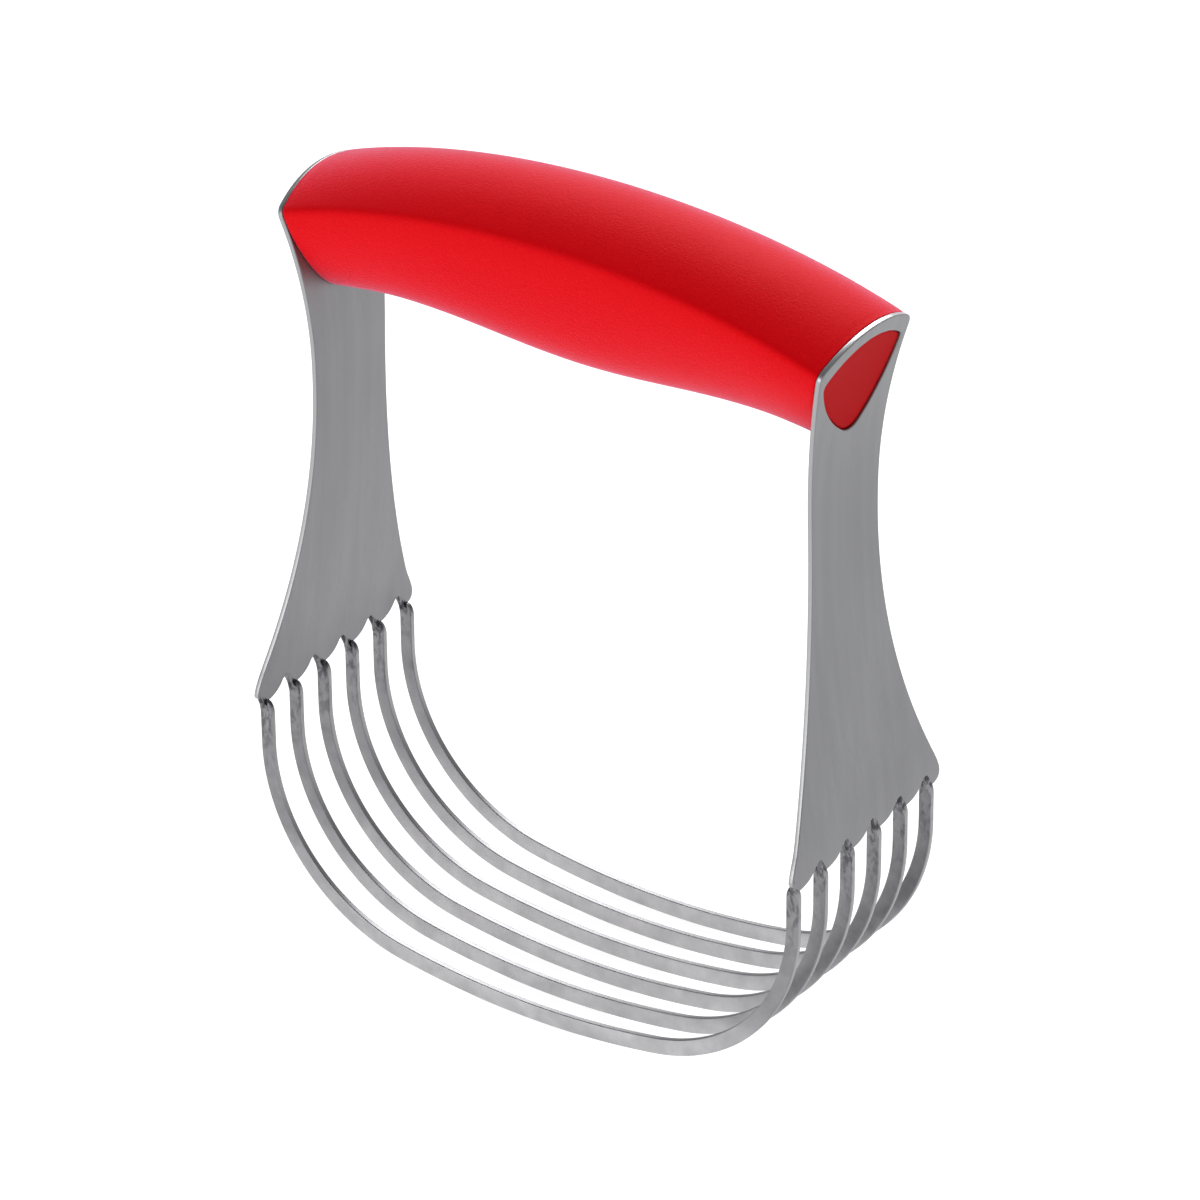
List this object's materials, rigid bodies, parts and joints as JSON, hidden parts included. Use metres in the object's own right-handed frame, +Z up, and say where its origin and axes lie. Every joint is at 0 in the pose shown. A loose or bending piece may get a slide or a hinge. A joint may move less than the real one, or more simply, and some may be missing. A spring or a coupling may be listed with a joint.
{
  "type": "pastry blender",
  "caption": "Hand pastry blender with U-shaped steel blades sprung between two side plates, under a soft arched grip.",
  "frame": {"origin": "centre of the footprint, on the surface that the blades stand on", "axes": "+Z up from the blades to the grip, X along the grip, -Y is the front"},
  "size_m": [0.1152, 0.0472, 0.1554],
  "materials": {
    "plate_steel": "satin, grain running up the plates",
    "blade_steel": "satin with tooling marks",
    "soft_grip": "fine matte soft-touch",
    "core_plastic": "moulded, hidden",
    "insert_plastic": "matte"
  },
  "bodies": {
    "root": {"side_plate_left": "plate_steel", "side_plate_right": "plate_steel", "blade_1": "blade_steel", "blade_2": "blade_steel", "blade_3": "blade_steel", "blade_4": "blade_steel", "blade_5": "blade_steel", "blade_6": "blade_steel", "handle_core": "core_plastic", "grip_sleeve": "soft_grip", "end_insert_left": "insert_plastic", "end_insert_right": "insert_plastic"}
  },
  "joints": []
}
